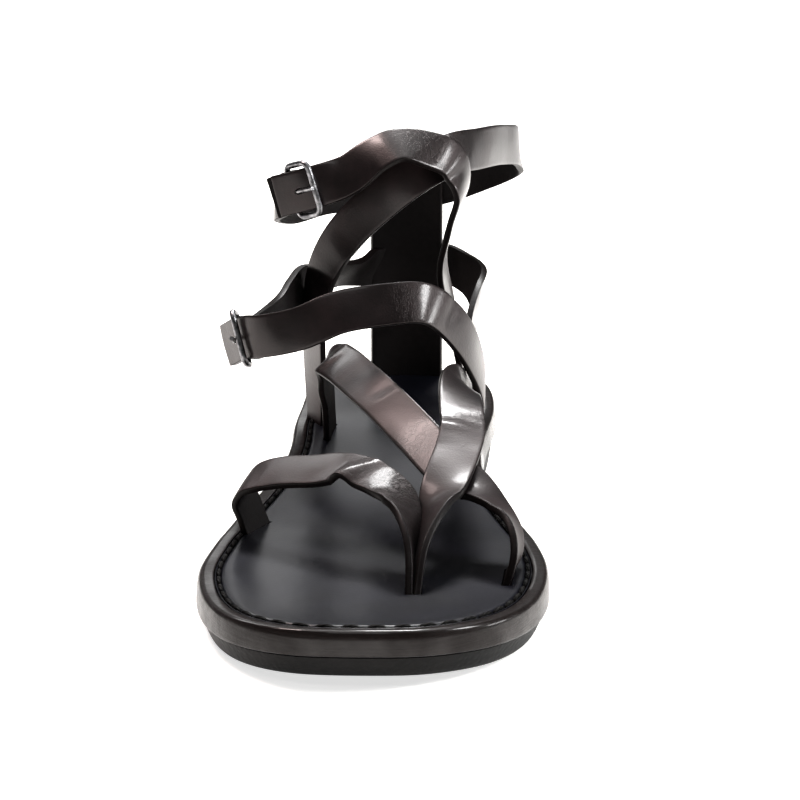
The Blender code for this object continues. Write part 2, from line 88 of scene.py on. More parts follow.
# Straps and buckles
STRAP_WIDTH = 13.0 * MM
STRAP_THICKNESS = 2.0 * MM
STRAP_EDGE = 0.45 * MM
STRAP_CROWN = 0.22 * MM
STRAP_UNEVENNESS = 0.16 * MM
PANEL_WIDTH = 24.6 * MM
PANEL_THICKNESS = 2.4 * MM
PANEL_BOW = 2.0 * MM
BOND = 0.3 * MM
STRAP_STEPS = 10
STRAP_FACES_ACROSS = 12
EDGE_SEGMENTS = 3
CORNER_ANGLE = 50
BUCKLE_WIRE = 1.9 * MM
PRONG_WIRE = 1.3 * MM
PRONG_TIP = 1.6 * MM
BAR_SPACING = 9.0 * MM
BUCKLE_CORNER = 2.6 * MM
BUCKLE_SIDE_GAP = 0.7 * MM
STRAP_TAIL = 4.5 * MM
WRAP_RETURN = 6.0 * MM
WRAP_LEAD = 5.0 * MM
WRAP_STEPS = 4
INSTEP_WRAP_TURN = 120.0
ANKLE_WRAP_TURN = 140.0

# Straps are dull up to the first height over the floor and polished from the second
POLISH_HEIGHTS = (22.0 * MM, 52.0 * MM)

# Stitches in their groove
STITCH_INSET = 6.2 * MM
STITCH_SINK = 0.10 * MM
STITCH_PITCH = 6.5 * MM
STITCH_LENGTH = 5.3 * MM
STITCH_SIDES = 8
STITCH_CUTS = 7
STITCH_NARROWING = 0.35
THREAD = 1.25 * MM

# The photograph's viewpoint
CAMERA_PLACE = Vector((0.0, -0.7465, 0.205))
CAMERA_PITCH = 13.96
CAMERA_LENS = 100.6
SENSOR = 36.0

# Studio: brightness of floor, surroundings and overhead glow
FLOOR_SIZE = 12.0
FLOOR_GLOW = 0.58
SURROUNDINGS = 0.09
OVERHEAD_POWER = 1.3
OVERHEAD_SPREAD = 64
OVERHEAD_TILT = (-12, 6, 0)
WHITE = (1.0, 1.0, 1.0)
WARM = (1.0, 0.82, 0.79)

# Soft boxes: name, direction and distance from the sandal's middle, size in metres, power in watts
# and colour
LIT_POINT = Vector((0.0, -0.07, 0.05))
SOFT_BOXES = (
    ("back_top_box", (0.07, 0.58, 0.81), 1.05, (0.24, 0.24), 9.5, WHITE),
    ("back_left_box", (-0.44, 0.67, 0.60), 1.05, (0.34, 0.30), 1.6, WHITE),
    ("right_box", (0.82, -0.20, 0.53), 0.95, (0.22, 0.22), 5.0, WHITE),
    ("left_top_box", (-0.46, 0.13, 0.88), 1.0, (0.24, 0.24), 5.0, WARM),
    ("low_right_box", (0.97, 0.04, 0.14), 0.9, (0.30, 0.12), 2.0, WHITE),
    ("front_box", (-0.10, -0.64, 0.76), 1.2, (0.35, 0.22), 0.8, WHITE),
    ("back_box", (-0.08, 0.96, 0.25), 1.15, (0.22, 0.26), 0.22, WHITE),
)

# Outline of the sole: along from the toe in sole lengths, outer and inner edge in half widths
SOLE_OUTLINE = (
    (0.000, -0.12, -0.12),
    (0.010, -0.55, 0.19),
    (0.054, -0.86, 0.51),
    (0.128, -1.06, 0.74),
    (0.229, -1.15, 0.85),
    (0.333, -1.10, 0.82),
    (0.453, -0.99, 0.70),
    (0.574, -0.98, 0.68),
    (0.698, -1.06, 0.86),
    (0.822, -1.02, 0.98),
    (0.922, -0.92, 0.92),
    (0.981, -0.57, 0.58),
    (1.000, 0.03, 0.03),
)

# Profiles of the sole's layers: millimetres in from the outline, then up from the layer's base
OUTSOLE_SIDE = (
    (3.9, 0.0), (3.3, 0.1), (2.9, 0.5), (2.5, 1.2),
    (1.9, 2.6), (1.4, 3.8), (1.0, 4.7), (0.9, 5.2),
)
MIDSOLE_SIDE = (
    (0.7, 0.0), (0.25, 0.12), (0.05, 0.45), (0.0, 0.9), (0.04, 1.6), (0.1, 2.6),
    (0.22, 4.0), (0.38, 5.0), (0.6, 5.9), (0.9, 6.5), (1.3, 6.85), (1.8, 7.0),
    (2.6, 7.02), (4.2, 6.98), (4.8, 6.8), (5.0, 6.3), (5.0, 4.7),
)
INSOLE_SIDE = (
    (5.2, -1.9), (5.2, -0.5), (5.25, -0.25), (5.4, -0.2), (5.55, -0.45), (5.75, -0.95),
    (6.2, -1.15), (6.65, -0.95), (6.95, -0.45), (7.3, -0.12), (7.9, 0.0),
)

# Straps: across in half widths of the sole, along from the toe in sole lengths, up from the footbed
# in upper heights, then where the face looks: turn from the toe towards the inner side, and tilt up
TOE_STRAP = (
    (-0.83, 0.384, -0.05, -117, 0),
    (-0.91, 0.384, 0.06, -112, 2),
    (-0.94, 0.380, 0.11, -104, 16),
    (-0.88, 0.368, 0.16, -84, 48),
    (-0.72, 0.353, 0.19, -26, 64),
    (-0.53, 0.333, 0.21, -3, 64),
    (-0.34, 0.314, 0.23, 5, 64),
    (-0.17, 0.296, 0.222, 28, 54),
    (-0.04, 0.272, 0.195, 38, 48),
    (0.03, 0.244, 0.155, 62, 30),
    (0.055, 0.205, 0.08, 86, 5),
    (0.055, 0.170, -0.05, 90, 0),
)
POST_STRAP = (
    (0.085, 0.170, -0.05, -90, 0),
    (0.11, 0.202, 0.06, -80, 3),
    (0.18, 0.244, 0.14, -55, 12),
    (0.26, 0.293, 0.205, -16, 26),
    (0.34, 0.345, 0.265, -6, 30),
    (0.37, 0.376, 0.30, 8, 44),
    (0.37, 0.426, 0.335, 14, 54),
    (0.40, 0.496, 0.34, 38, 44),
    (0.50, 0.562, 0.27, 64, 24),
    (0.64, 0.640, 0.13, 88, 4),
    (0.62, 0.668, -0.05, 92, 0),
)
CROSS_STRAP = (
    (0.56, 0.203, -0.05, 95, 0),
    (0.65, 0.221, 0.06, 88, 6),
    (0.63, 0.250, 0.12, 76, 26),
    (0.50, 0.287, 0.165, 52, 40),
    (0.31, 0.330, 0.205, 2, 34),
    (0.11, 0.388, 0.27, -4, 32),
    (-0.09, 0.453, 0.32, -5, 34),
    (-0.27, 0.508, 0.34, -12, 38),
    (-0.43, 0.550, 0.35, -28, 46),
    (-0.56, 0.581, 0.34, -54, 50),
    (-0.64, 0.609, 0.27, -86, 20),
    (-0.66, 0.643, 0.17, -98, 2),
    (-0.69, 0.716, -0.05, -102, 0),
)
INSTEP_STRAP = (
    (0.65, 0.668, -0.05, 92, 0),
    (0.75, 0.643, 0.17, 84, 5),
    (0.62, 0.605, 0.33, 64, 10),
    (0.38, 0.566, 0.48, 38, 22),
    (0.18, 0.539, 0.55, 15, 28),
    (-0.10, 0.523, 0.56, 0, 26),
    (-0.42, 0.519, 0.54, -8, 20),
    (-0.70, 0.519, 0.49, -12, 8),
    (-0.98, 0.527, 0.46, -26, 0),
    (-1.15, 0.547, 0.44, -46, 0),
    (-1.40, 0.585, 0.38, -50, 0),
)
INSTEP_BACK_STRAP = (
    (-1.08, 0.640, 0.43, -108, 0),
    (-1.04, 0.685, 0.45, -107, 0),
    (-0.96, 0.733, 0.46, -108, 0),
    (-0.78, 0.806, 0.43, -112, 14),
    (-0.54, 0.899, 0.405, -122, 46),
    (-0.26, 0.961, 0.385, -155, 8),
    (0.07, 0.975, 0.39, 180, 0),
    (0.42, 0.967, 0.40, 165, 0),
    (0.64, 0.930, 0.39, 140, -5),
    (0.79, 0.876, 0.38, 100, -20),
    (0.78, 0.829, 0.35, 75, -10),
    (0.69, 0.787, 0.28, 88, 0),
    (0.65, 0.760, 0.19, 92, 0),
)
ANKLE_BACK_STRAP = (
    (-0.83, 0.752, -0.05, -68, 0),
    (-0.84, 0.736, 0.18, -62, 0),
    (-0.83, 0.717, 0.39, -58, 0),
    (-0.73, 0.698, 0.54, -45, 6),
    (-0.49, 0.682, 0.67, -22, 10),
    (-0.16, 0.671, 0.78, 0, 18),
    (0.18, 0.663, 0.87, 18, 30),
    (0.47, 0.682, 0.91, 38, 20),
    (0.75, 0.744, 0.90, 52, 6),
    (1.01, 0.829, 0.88, 65, 0),
    (1.19, 0.907, 0.83, 100, 0),
    (1.12, 0.957, 0.76, 160, 0),
    (0.83, 0.973, 0.71, 172, 0),
    (0.42, 0.969, 0.665, 170, 0),
    (0.07, 0.975, 0.65, 180, 0),
    (-0.29, 0.963, 0.65, -160, 0),
    (-0.72, 0.903, 0.67, -128, 0),
    (-1.06, 0.795, 0.70, -112, 0),
    (-1.17, 0.715, 0.75, -98, 0),
)
ANKLE_FRONT_STRAP = (
    (0.60, 0.768, -0.05, 95, 0),
    (0.60, 0.752, 0.18, 90, 0),
    (0.49, 0.725, 0.39, 84, 0),
    (0.41, 0.702, 0.56, 82, 0),
    (0.49, 0.682, 0.70, 80, 0),
    (0.58, 0.667, 0.81, 70, 6),
    (0.47, 0.651, 0.91, 38, 24),
    (0.25, 0.640, 0.95, 16, 40),
    (0.00, 0.632, 0.97, 0, 52),
    (-0.22, 0.628, 0.94, -6, 46),
    (-0.45, 0.628, 0.88, -12, 26),
    (-0.83, 0.636, 0.83, -18, 0),
    (-1.11, 0.647, 0.80, -20, 0),
)
HEEL_PANEL = (
    (0.07, 0.960, -0.05, 180, 0),
    (0.07, 0.967, 0.14, 180, 0),
    (0.07, 0.969, 0.40, 180, 0),
    (0.07, 0.969, 0.66, 180, 0),
    (0.07, 0.962, 0.80, 180, 0),
)

# Strap ends that stand in slits of the insole: a table's first row, and its last
FEET_AT_START = ("toe_strap", "post_strap", "cross_strap", "instep_strap", "ankle_front_strap")
FEET_AT_END = ("toe_strap", "post_strap", "cross_strap", "ankle_back_strap")

# Creases: strap, row of its path that it crosses, slant in widths, height and half width in
# millimetres, and the share of the width, from -0.5 to 0.5, that it fades in from and is full at
CREASES = (
    ("toe_strap", 6.5, 0.35, 2.9, 3.6, 0.45, -0.5),
    ("toe_strap", 6.15, 0.3, -0.9, 1.8, 0.3, -0.5),
    ("toe_strap", 6.65, 0.3, 0.5, 1.6, -0.5, 0.3),
    ("toe_strap", 5.6, 0.1, -0.4, 5.0, 0.4, -0.3),
    ("toe_strap", 8.3, -0.1, 0.35, 2.2, -0.5, 0.3),
    ("toe_strap", 8.8, 0.1, -0.3, 1.4, 0.5, -0.2),
    ("toe_strap", 3.3, 0.0, -0.35, 2.5, 0.5, 0.0),
    ("post_strap", 5.0, 0.1, 0.5, 2.2, -0.5, 0.2),
    ("post_strap", 5.35, 0.1, -0.3, 2.6, 0.5, -0.3),
    ("post_strap", 7.2, 0.2, -0.4, 3.0, -0.5, 0.3),
    ("post_strap", 2.6, 0.0, -0.3, 2.5, 0.5, 0.0),
    ("cross_strap", 8.6, 0.3, 0.6, 1.8, -0.5, 0.3),
    ("cross_strap", 9.2, 0.3, -0.5, 1.6, 0.5, -0.3),
    ("cross_strap", 6.3, 0.1, -0.3, 3.0, 0.5, -0.2),
    ("cross_strap", 2.4, -0.1, -0.35, 2.4, -0.5, 0.2),
    ("instep_strap", 5.3, 0.1, -0.3, 5.0, -0.5, 0.2),
    ("instep_strap", 3.1, 0.2, -0.35, 2.6, 0.5, -0.2),
    ("instep_strap", 7.6, 0.0, 0.3, 3.0, -0.5, 0.3),
    ("ankle_back_strap", 12.4, 0.2, -0.4, 2.4, 0.5, -0.3),
    ("ankle_back_strap", 18.8, 0.3, 0.45, 1.8, -0.5, 0.4),
    ("ankle_back_strap", 19.5, 0.2, -0.5, 2.0, 0.5, -0.3),
    ("ankle_back_strap", 22.4, 0.1, 0.3, 3.0, -0.5, 0.3),
    ("ankle_front_strap", 5.6, 0.2, -0.45, 2.2, -0.5, 0.3),
    ("ankle_front_strap", 8.4, 0.1, 0.3, 3.2, 0.5, -0.3),
    ("instep_back_strap", 15.5, 0.2, 0.45, 2.2, -0.5, 0.3),
    ("instep_back_strap", 13.2, 0.0, -0.3, 3.0, 0.5, -0.3),
)

# Where the leather is cracked from bending: strap, row, reach in millimetres and how strongly
FLEXED = (
    ("toe_strap", 8.0, 7.0, 1.0),
    ("toe_strap", 6.6, 4.0, 0.4),
    ("post_strap", 5.4, 6.0, 0.3),
    ("cross_strap", 4.9, 6.0, 0.5),
    ("cross_strap", 8.9, 4.0, 0.3),
    ("instep_strap", 4.3, 7.0, 0.2),
    ("ankle_front_strap", 7.0, 7.0, 0.35),
    ("ankle_back_strap", 18.9, 6.0, 0.3),
)


def smoothstep(value, start, end):
    """0 before start, 1 after end, smooth between them."""
    share = min(max((value - start) / (end - start), 0.0), 1.0)
    return share * share * (3.0 - 2.0 * share)


def half_width(along):
    return 0.5 * (BALL_WIDTH + (HEEL_WIDTH - BALL_WIDTH) * smoothstep(along, *WAIST))


def toe_spring(along):
    return TOE_SPRING * max(0.0, 1.0 - along / SPRING_END) ** 2


def floor_gap(along):
    """Height of the outsole's underside over the floor."""
    arch = ARCH_RISE * smoothstep(along, *ARCH_FRONT) * (1.0 - smoothstep(along, *ARCH_BACK))
    return toe_spring(along) + arch


def outsole_top(along):
    lift = HEEL_LIFT * smoothstep(along, *LIFT) + HEEL_SEAT_RISE * smoothstep(along, *SEAT)
    return OUTSOLE_THICKNESS + toe_spring(along) + lift


def midsole_base(along):
    return outsole_top(along) + FIT


def footbed(along):
    return outsole_top(along) + MIDSOLE_THICKNESS


def place(across, along, height):
    """Point from a share of the half width, a share of the length and a height in metres."""
    return Vector((across * half_width(along), (along - HEEL_CENTRE) * SOLE_LENGTH, height))


def smooth_curve(rows, steps, spacing=0.0):
    """Catmull-Rom curve through rows of numbers, whose first and last rows only steer it."""
    rows = np.asarray(rows, float)
    gaps = np.linalg.norm(np.diff(rows[:, :3], axis=0), axis=1) ** spacing
    points = []
    for i, (a, b, c, d) in enumerate(zip(rows, rows[1:], rows[2:], rows[3:])):
        before, here, after = gaps[i:i + 3]
        leave = here * ((b - a) / before - (c - a) / (before + here) + (c - b) / here)
        arrive = here * ((c - b) / here - (d - b) / (here + after) + (d - c) / after)
        for t in np.arange(steps) / steps:
            points.append(b + leave * t + (3 * (c - b) - 2 * leave - arrive) * t ** 2
                          + (2 * (b - c) + leave + arrive) * t ** 3)
    points.append(rows[-2])
    return np.array(points)


def sole_edges():
    """Smooth rows of the outline, steered round the toe and the heel by the opposite edge."""
    rows = list(SOLE_OUTLINE)
    around_toe = (rows[1][0], rows[1][2], rows[1][1])
    around_heel = (rows[-2][0], rows[-2][2], rows[-2][1])
    return smooth_curve([around_toe] + rows + [around_heel], SOLE_STEPS)


EDGES = sole_edges()


def outline(inset):
    """Closed outline of the sole as (along, point), drawn in by inset, outer side first."""
    loop = [(a, place(left, a, 0)) for a, left, right in EDGES]
    loop += [(a, place(right, a, 0)) for a, left, right in EDGES[-2:0:-1]]
    points = []
    for i, (along, point) in enumerate(loop):
        run = (loop[(i + 1) % len(loop)][1] - loop[i - 1][1]).normalized()
        points.append((along, point + Vector((run.y, -run.x, 0.0)) * inset))
    return points


def middle_line(along):
    """Point between the edges, held back from the round ends of toe and heel."""
    along = min(max(along, MIDDLE_START), 1.0 - MIDDLE_START)
    return place(np.interp(along, EDGES[:, 0], 0.5 * (EDGES[:, 1] + EDGES[:, 2])), along, 0)


def along_of(point):
    return min(max(point.y / SOLE_LENGTH + HEEL_CENTRE, 0.0), 1.0)


def sole_ring(inset, height, spread=1.0):
    """Points of one ring: spread 1 is the outline, 0 the sole's middle line."""
    ring = []
    for along, point in outline(inset):
        flat = middle_line(along).lerp(point, spread)
        ring.append(Vector((flat.x, flat.y, height(along_of(flat), flat))))
    return ring


def deselect():
    bpy.ops.object.select_all(action="DESELECT")


def choose(piece):
    deselect()
    piece.select_set(True)
    bpy.context.view_layer.objects.active = piece


def apply_all(piece):
    choose(piece)
    for step in list(piece.modifiers):
        bpy.ops.object.modifier_apply(modifier=step.name)


def smooth_by_angle(piece, degrees=35):
    choose(piece)
    bpy.ops.object.shade_smooth_by_angle(angle=math.radians(degrees))


def loft(name, rings):
    """Closed solid: a circle's loop is extruded once for each ring and laid on it."""
    deselect()
    bpy.ops.mesh.primitive_circle_add(vertices=len(rings[0]), fill_type="NOTHING")
    piece = bpy.context.object
    piece.name = name
    bpy.ops.object.mode_set(mode="EDIT")
    for i, ring in enumerate(rings):
        if i:
            bpy.ops.mesh.extrude_region_move()
        mesh = bmesh.from_edit_mesh(piece.data)
        mesh.verts.ensure_lookup_table()
        for vert, point in zip(mesh.verts[-len(ring):], ring):
            vert.co = point
        bmesh.update_edit_mesh(piece.data)
    bpy.ops.mesh.select_all(action="SELECT")
    bpy.ops.mesh.remove_doubles(threshold=0.00001)
    bpy.ops.mesh.normals_make_consistent(inside=False)
    bpy.ops.object.mode_set(mode="OBJECT")
    return piece


def cut(piece, cutter):
    """Cuts the cutter out of the piece and removes it."""
    choose(piece)
    step = piece.modifiers.new("cut", "BOOLEAN")
    step.operation = "DIFFERENCE"
    step.solver = "EXACT"
    step.object = cutter
    bpy.ops.object.modifier_apply(modifier=step.name)
    bpy.data.objects.remove(cutter)


def finish_piece(piece, node, slot, *materials):
    """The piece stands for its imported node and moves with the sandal."""
    for made in materials:
        piece.data.materials.append(made)
    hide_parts(node)
    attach(piece, BODY)


class Value:
    """A number in a material's nodes, on which Python's operators add Math nodes."""

    def __init__(self, finish, socket):
        self.finish = finish
        self.socket = socket

    def math(self, operation, first, second=None):
        inputs = {0: first} if second is None else {0: first, 1: second}
        made = self.finish.node("ShaderNodeMath", {"operation": operation}, inputs)
        return Value(self.finish, made.outputs[0])

    def __add__(self, other):
        return self.math("ADD", self, other)

    def __mul__(self, other):
        return self.math("MULTIPLY", self, other)

    def __rsub__(self, other):
        return self.math("SUBTRACT", other, self)

    __radd__ = __add__
    __rmul__ = __mul__

    def between(self, low, high):
        """0 below low, 1 above high, smooth between them."""
        ranges = {"From Min": low, "From Max": high}
        made = self.finish.node("ShaderNodeMapRange", {"interpolation_type": "SMOOTHSTEP"},
                                {"Value": self, **ranges})
        return Value(self.finish, made.outputs["Result"])


class Finish:
    """A material: its Principled shader, and one method for every other node."""

    def __init__(self, name, **constants):
        self.material = bpy.data.materials.new(name)
        self.material.use_nodes = True
        self.tree = self.material.node_tree
        self.shader = self.tree.nodes["Principled BSDF"]
        self.fill(self.shader, constants)

    def fill(self, node, inputs):
        for key, value in inputs.items():
            socket = node.inputs[key]
            if isinstance(value, Value):
                self.tree.links.new(value.socket, socket)
            elif isinstance(value, bpy.types.NodeSocket):
                self.tree.links.new(value, socket)
            else:
                socket.default_value = value

    def node(self, kind, settings=None, inputs=None):
        made = self.tree.nodes.new(kind)
        for key, value in (settings or {}).items():
            setattr(made, key, value)
        self.fill(made, inputs or {})
        return made

    def coordinates(self, source, stretch=(1.0, 1.0, 1.0)):
        """Object or UV coordinates in metres, stretched along each axis."""
        place_of = self.node("ShaderNodeTexCoord").outputs[source]
        return self.node("ShaderNodeMapping", {}, {"Vector": place_of, "Scale": stretch}).outputs[0]

    def height(self):
        """Height over the floor, in metres."""
        place_of = self.node("ShaderNodeTexCoord").outputs["Object"]
        return Value(self, self.node("ShaderNodeSeparateXYZ", {}, {"Vector": place_of}).outputs["Z"])

    def noise(self, where, scale, detail=3.0, roughness=0.55):
        made = self.node("ShaderNodeTexNoise", {},
                         {"Vector": where, "Scale": scale, "Detail": detail, "Roughness": roughness})
        return Value(self, made.outputs["Fac"])

    def cells(self, where, scale, feature="F1"):
        made = self.node("ShaderNodeTexVoronoi", {"feature": feature}, {"Vector": where, "Scale": scale})
        return Value(self, made.outputs["Distance"])

    def painted(self, name):
        """A number that was stored on the mesh."""
        made = self.node("ShaderNodeAttribute", {"attribute_name": name})
        return Value(self, made.outputs["Fac"])

    def colour(self, factor, low, high):
        """A mix from the low colour to the high one."""
        return self.blend(factor, (*low, 1), high)

    def blend(self, factor, low, high):
        """A mix from a colour that may come from another node to a plain one."""
        inputs = {0: factor, 6: low, 7: (*high, 1)}
        return self.node("ShaderNodeMix", {"data_type": "RGBA"}, inputs).outputs[2]

    def bumps(self, *layers):
        """Stacks (height, depth in metres) layers of relief."""
        normal = None
        for height, depth in layers:
            inputs = {"Height": height, "Distance": depth, "Strength": 1.0}
            if normal is not None:
                inputs["Normal"] = normal
            normal = self.node("ShaderNodeBump", {}, inputs).outputs[0]
        return normal

    def set(self, **links):
        """Puts values on the shader and returns the finished material."""
        self.fill(self.shader, {key.replace("_", " "): value for key, value in links.items()})
        return self.material


def grain_leather():
    """Glossy brown-black strap leather, cracked and paler where it has been bent."""
    finish = Finish("strap_leather_grain", **{
        "Specular IOR Level": 0.32,
        "Specular Tint": (1.0, 0.89, 0.875, 1),
        "Coat Roughness": 0.17,
        "Coat IOR": 1.42,
    })
    strap = finish.coordinates("UV")
    flex = finish.painted("flex")
    patches = finish.noise(strap, 55.0, 4.0)
    pores = finish.noise(strap, 1500.0, 2.0)
    cells = finish.cells(strap, 2000.0)
    wrinkles = finish.noise(finish.coordinates("UV", (1.0, 0.22, 1.0)), 420.0, 4.0)
    folds = finish.noise(finish.coordinates("UV", (1.0, 0.45, 1.0)), 520.0, 5.0, 0.65)
    crack = folds.between(0.44, 0.50) * (1.0 - folds.between(0.50, 0.56)) * flex
    base = finish.colour(patches.between(0.35, 0.75),
                         (0.0055, 0.0039, 0.0042), (0.0175, 0.0118, 0.0124))
    base = finish.blend(crack, base, (0.002, 0.0014, 0.0014))
    normal = finish.bumps((wrinkles, 0.00005), (cells, 0.000025), (pores, 0.00002),
                          (crack, -0.00022), (folds * flex, 0.00055))
    polish = finish.height().between(*POLISH_HEIGHTS)
    return finish.set(
        Base_Color=base,
        Roughness=0.47 - polish * 0.18 + patches * 0.16 + crack * 0.2,
        Coat_Weight=(0.6 - patches.between(0.45, 0.8) * 0.3) * polish,
        Normal=normal,
    )


def flesh_leather():
    """Dull inner side of the straps."""
    finish = Finish("strap_leather_inner_side", **{"Specular IOR Level": 0.14})
    strap = finish.coordinates("UV")
    nap = finish.noise(strap, 900.0, 5.0, 0.7)
    patches = finish.noise(strap, 70.0, 3.0)
    base = finish.colour(nap * 0.5 + patches * 0.5,
                         (0.0030, 0.0026, 0.0028), (0.010, 0.0075, 0.0075))
    return finish.set(
        Base_Color=base,
        Roughness=0.5 + nap * 0.2,
        Normal=finish.bumps((nap, 0.00008)),
    )


def cut_edge():
    """Dyed and burnished edge of the straps."""
    finish = Finish("strap_leather_cut_edge", **{
        "Specular IOR Level": 0.10,
        "Coat Roughness": 0.25,
    })
    strap = finish.coordinates("UV")
    fibres = finish.noise(strap, 1300.0, 4.0, 0.65)
    base = finish.colour(fibres, (0.0022, 0.0015, 0.0015), (0.009, 0.006, 0.0058))
    return finish.set(
        Base_Color=base,
        Roughness=0.36 + fibres * 0.2,
        Coat_Weight=fibres * 0.2,
        Normal=finish.bumps((fibres, 0.00006)),
    )


def insole_leather():
    """Satin blue-black footbed, a little polished where the foot has rested."""
    finish = Finish("insole_leather_blue_black", **{
        "Specular IOR Level": 0.3,
        "Coat Roughness": 0.2,
    })
    where = finish.coordinates("Object")
    drawn = finish.noise(finish.coordinates("Object", (1.0, 0.25, 1.0)), 60.0, 3.0)
    patches = finish.noise(where, 38.0, 3.0)
    pores = finish.noise(where, 1300.0, 3.0)
    base = finish.colour(patches.between(0.3, 0.7),
                         (0.0022, 0.0025, 0.0048), (0.0058, 0.0062, 0.0110))
    normal = finish.bumps((drawn, 0.0003), (pores, 0.00002))
    return finish.set(
        Base_Color=base,
        Roughness=0.28 + drawn * 0.14,
        Coat_Weight=0.03 + drawn * 0.25,
        Normal=normal,
    )


def board_leather():
    """Brown-black board whose rim is scuffed and whose side is sanded and waxed in layers."""
    finish = Finish("midsole_leather_board", **{
        "Specular IOR Level": 0.12,
        "Coat Roughness": 0.11,
    })
    where = finish.coordinates("Object")
    layers = finish.noise(finish.coordinates("Object", (0.04, 0.04, 1.0)), 1500.0, 4.0, 0.6)
    patches = finish.noise(where, 60.0, 4.0)
    pores = finish.noise(where, 1400.0, 3.0)
    scuffs = finish.noise(where, 420.0, 5.0, 0.7)
    base = finish.colour(layers * 0.5 + patches * 0.5,
                         (0.0035, 0.0024, 0.0022), (0.015, 0.0100, 0.0090))
    normal = finish.bumps((layers, 0.00018), (scuffs, 0.00010), (pores, 0.00004))
    return finish.set(
        Base_Color=base,
        Roughness=0.30 + scuffs * 0.22,
        Coat_Weight=0.25 + patches.between(0.35, 0.7) * 0.45,
        Normal=normal,
    )


def sole_rubber():
    """Black rubber with a fine pebbled skin."""
    finish = Finish("outsole_rubber_black", **{"Specular IOR Level": 0.2})
    where = finish.coordinates("Object")
    pebbles = finish.cells(where, 700.0, "SMOOTH_F1")
    dust = finish.noise(where, 90.0, 4.0)
    base = finish.colour(dust.between(0.4, 0.75), (0.004, 0.004, 0.004), (0.012, 0.011, 0.011))
    return finish.set(
        Base_Color=base,
        Roughness=0.42 + dust * 0.2,
        Normal=finish.bumps((pebbles, 0.00012)),
    )


def waxed_thread():
    """Black waxed thread, twisted on the slant."""
    finish = Finish("stitch_thread_black", **{"Specular IOR Level": 0.12})
    where = finish.coordinates("UV")
    twist = finish.node("ShaderNodeTexWave", {"bands_direction": "DIAGONAL"},
                        {"Vector": where, "Scale": 3.0})
    lay = Value(finish, twist.outputs["Fac"])
    base = finish.colour(lay, (0.0015, 0.0015, 0.0015), (0.006, 0.0055, 0.005))
    return finish.set(
        Base_Color=base,
        Roughness=0.6 + lay * 0.15,
        Normal=finish.bumps((lay, 0.0001)),
    )


def antique_metal():
    """Dark antique silver wire with small dents and darker patches."""
    finish = Finish("buckle_metal_antique", **{"Metallic": 1.0})
    where = finish.coordinates("Object")
    tarnish = finish.noise(where, 420.0, 4.0, 0.6)
    scratches = finish.noise(finish.coordinates("Object", (1.0, 1.0, 0.2)), 2500.0, 3.0)
    base = finish.colour(tarnish.between(0.35, 0.65), (0.10, 0.10, 0.105), (0.34, 0.34, 0.35))
    return finish.set(
        Base_Color=base,
        Roughness=0.24 + tarnish * 0.2,
        Normal=finish.bumps((tarnish, 0.00008), (scratches, 0.00003)),
    )


def build_outsole():
    """Rubber wedge: its side profile is stretched with the wedge's height."""
    top_row = OUTSOLE_SIDE[-1][1]

    def height(row):
        share = row / top_row
        return lambda a, p: floor_gap(a) + share * (outsole_top(a) - floor_gap(a))

    rings = [sole_ring(OUTSOLE_SIDE[0][0] * MM, height(0.0), s) for s in (0.0, 0.5)]
    rings += [sole_ring(inset * MM, height(up)) for inset, up in OUTSOLE_SIDE]
    rings += [sole_ring(OUTSOLE_SIDE[-1][0] * MM, height(top_row), s) for s in (0.5, 0.0)]
    piece = loft("outsole_rubber_wedge", rings)
    smooth_by_angle(piece)
    finish_piece(piece, "outsole", "outsole_rubber", sole_rubber())


def build_midsole():
    """Leather board with a lip at its lower edge, a rounded rim and the insole's recess."""
    def height(up):
        return lambda a, p: midsole_base(a) + up * MM

    rings = [sole_ring(MIDSOLE_SIDE[0][0] * MM, height(0.0), s) for s in (0.0, 0.5)]
    rings += [sole_ring(inset * MM, height(up)) for inset, up in MIDSOLE_SIDE]
    inset, up = MIDSOLE_SIDE[-1]
    rings += [sole_ring(inset * MM, height(up), s) for s in (0.5, 0.0)]
    piece = loft("midsole_leather_board", rings)
    smooth_by_angle(piece, degrees=50)
    finish_piece(piece, "midsole", "midsole_board", board_leather())


def footprint(along, point):
    """How far the foot has pressed the insole down, in metres."""
    across = point.x / half_width(along)
    depth = FOOTBED_RIPPLE * noise.noise(Vector((point.x * 45, point.y * 30, 0.3)))
    for place_along, length, place_across, width, deep in (HEEL_HOLLOW, BALL_HOLLOW):
        away = ((along - place_along) / length) ** 2 + ((across - place_across) / width) ** 2
        depth += deep * math.exp(-away)
    return depth


def build_insole(feet):
    """Footbed with the stitched groove near its edge and a slit for each strap end."""
    def height(up):
        return lambda a, p: footbed(a) + up * MM

    def pressed(fade):
        return lambda a, p: footbed(a) - fade * footprint(a, p)

    inset = INSOLE_SIDE[-1][0] * MM
    rings = [sole_ring(INSOLE_SIDE[0][0] * MM, height(INSOLE_SIDE[0][1]), s) for s in (0.0, 0.5)]
    rings += [sole_ring(row * MM, height(up)) for row, up in INSOLE_SIDE]
    spreads = np.linspace(INSOLE_INNER_SPREAD, 0.0, INSOLE_RINGS)
    rings += [sole_ring(inset, pressed(min(1.0, (1.0 - s) * 6)), s) for s in spreads]
    piece = loft("insole_leather_footbed", rings)
    for stations, width, thickness, bow in feet:
        cut(piece, slit_cutter(stations, width, thickness, bow))
    smooth_by_angle(piece, degrees=40)
    finish_piece(piece, "insole", "insole_leather", insole_leather())


def facing(turn, tilt):
    """Direction from a turn and a tilt in degrees."""
    turn, tilt = math.radians(turn), math.radians(tilt)
    return Vector((math.sin(turn) * math.cos(tilt), -math.cos(turn) * math.cos(tilt), math.sin(tilt)))


